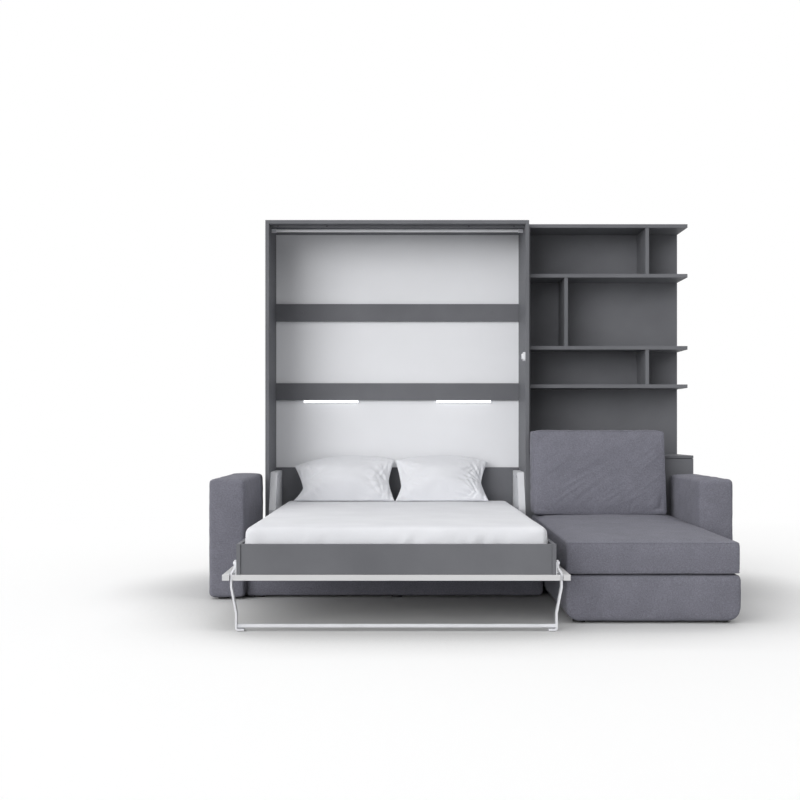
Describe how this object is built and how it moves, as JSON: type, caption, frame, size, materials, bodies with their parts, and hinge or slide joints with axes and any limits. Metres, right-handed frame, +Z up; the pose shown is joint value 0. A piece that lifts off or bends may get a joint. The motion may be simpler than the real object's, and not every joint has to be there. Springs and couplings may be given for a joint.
{
  "type": "vertical wall bed with sofa",
  "caption": "Fold-down wall bed in a tall open cabinet, lowered over an upholstered corner sofa, with a bookcase beside it.",
  "frame": {"origin": "on the floor at the middle of the bed cabinet's base", "axes": "+X to the right along the wall, +Y towards the wall, +Z up; the bed folds down towards -Y"},
  "size_m": [2.8158, 2.14, 2.17],
  "materials": {
    "anthracite_laminate": "satin",
    "white_laminate": "satin",
    "plain_timber": "matte",
    "birch_slats": "satin",
    "white_steel": "satin",
    "zinc_steel": "satin",
    "rod_steel": "polished",
    "black_steel": "satin",
    "bronze": "satin",
    "light_channel": "satin",
    "light_diffuser": "satin",
    "white_plastic": "satin",
    "black_plastic": "matte",
    "bed_linen": "matte",
    "sofa_fabric": "matte"
  },
  "bodies": {
    "cabinet": {"cabinet_left_side": "anthracite_laminate", "cabinet_right_side": "anthracite_laminate", "cabinet_top": "anthracite_laminate", "cabinet_bottom": "anthracite_laminate", "upper_back_rail": "anthracite_laminate", "middle_back_rail": "anthracite_laminate", "headboard_rail": "anthracite_laminate", "stop_strip": "anthracite_laminate", "bookcase_left_side": "anthracite_laminate", "bookcase_back": "anthracite_laminate", "bookcase_top": "anthracite_laminate", "shelves": "anthracite_laminate", "shelf_dividers": "anthracite_laminate", "base_cabinet_top": "anthracite_laminate", "base_cabinet_front": "anthracite_laminate", "base_cabinet_carcase": "anthracite_laminate", "back_sheet": "white_laminate", "wall_battens": "plain_timber", "stiffener_bar": "white_steel", "bar_sockets": "white_steel", "left_lift_housing": "white_steel", "right_lift_housing": "white_steel", "housing_bolts": "zinc_steel", "anchor_bolts": "zinc_steel", "left_gas_cylinder": "black_steel", "right_gas_cylinder": "black_steel", "pivot_bushes": "bronze", "led_channels": "light_channel", "led_diffusers": "light_diffuser", "switch_body": "white_plastic", "sofa_feet": "black_plastic", "left_arm": "sofa_fabric", "right_arm": "sofa_fabric", "seat_base": "sofa_fabric", "chaise_base": "sofa_fabric", "chaise_seat_cushion": "sofa_fabric", "chaise_back_cushion": "sofa_fabric"},
    "bed": {"bed_left_side": "anthracite_laminate", "bed_right_side": "anthracite_laminate", "footboard": "anthracite_laminate", "head_rail": "anthracite_laminate", "front_panel": "white_laminate", "slats": "birch_slats", "slat_ledgers": "plain_timber", "centre_beam": "plain_timber", "corner_angles": "zinc_steel", "mattress": "bed_linen", "left_pillow": "bed_linen", "right_pillow": "bed_linen", "pivot_shafts": "zinc_steel", "cranks": "zinc_steel", "leg_plates": "white_steel", "leg_bolts": "zinc_steel"},
    "leg": {"left_leg_strap": "white_steel", "right_leg_strap": "white_steel", "leg_cross_bar": "white_steel", "leg_glides": "black_plastic"},
    "left_rod": {"left_gas_rod": "rod_steel"},
    "right_rod": {"right_gas_rod": "rod_steel"},
    "button": {"switch_button": "white_plastic"}
  },
  "joints": [
    {"name": "bed_fold", "type": "hinge", "parent": "cabinet", "child": "bed", "pos_m": [0, -0.135, 0.35], "axis": [-1, 0, 0], "range_deg": [0, 90], "deforming": ["left_pillow", "right_pillow"]},
    {"name": "leg_fold", "type": "hinge", "parent": "bed", "child": "leg", "pos_m": [0, -1.887, 0.307], "axis": [-1, 0, 0], "range_deg": [0, 180]},
    {"name": "left_rod_slide", "type": "slide", "parent": "cabinet", "child": "left_rod", "axis": [0, 0, -1], "range_m": [0, 0.0708]},
    {"name": "right_rod_slide", "type": "slide", "parent": "cabinet", "child": "right_rod", "axis": [0, 0, -1], "range_m": [0, 0.0708]},
    {"name": "button_press", "type": "slide", "parent": "cabinet", "child": "button", "axis": [1, 0, 0], "range_m": [0, 0.002], "stiffness_N_per_m": 400}
  ],
  "couplings": [
    {"joint": "left_rod_slide", "follows": "bed_fold", "m_per_rad": 0.045016},
    {"joint": "right_rod_slide", "follows": "bed_fold", "m_per_rad": 0.045016}
  ]
}
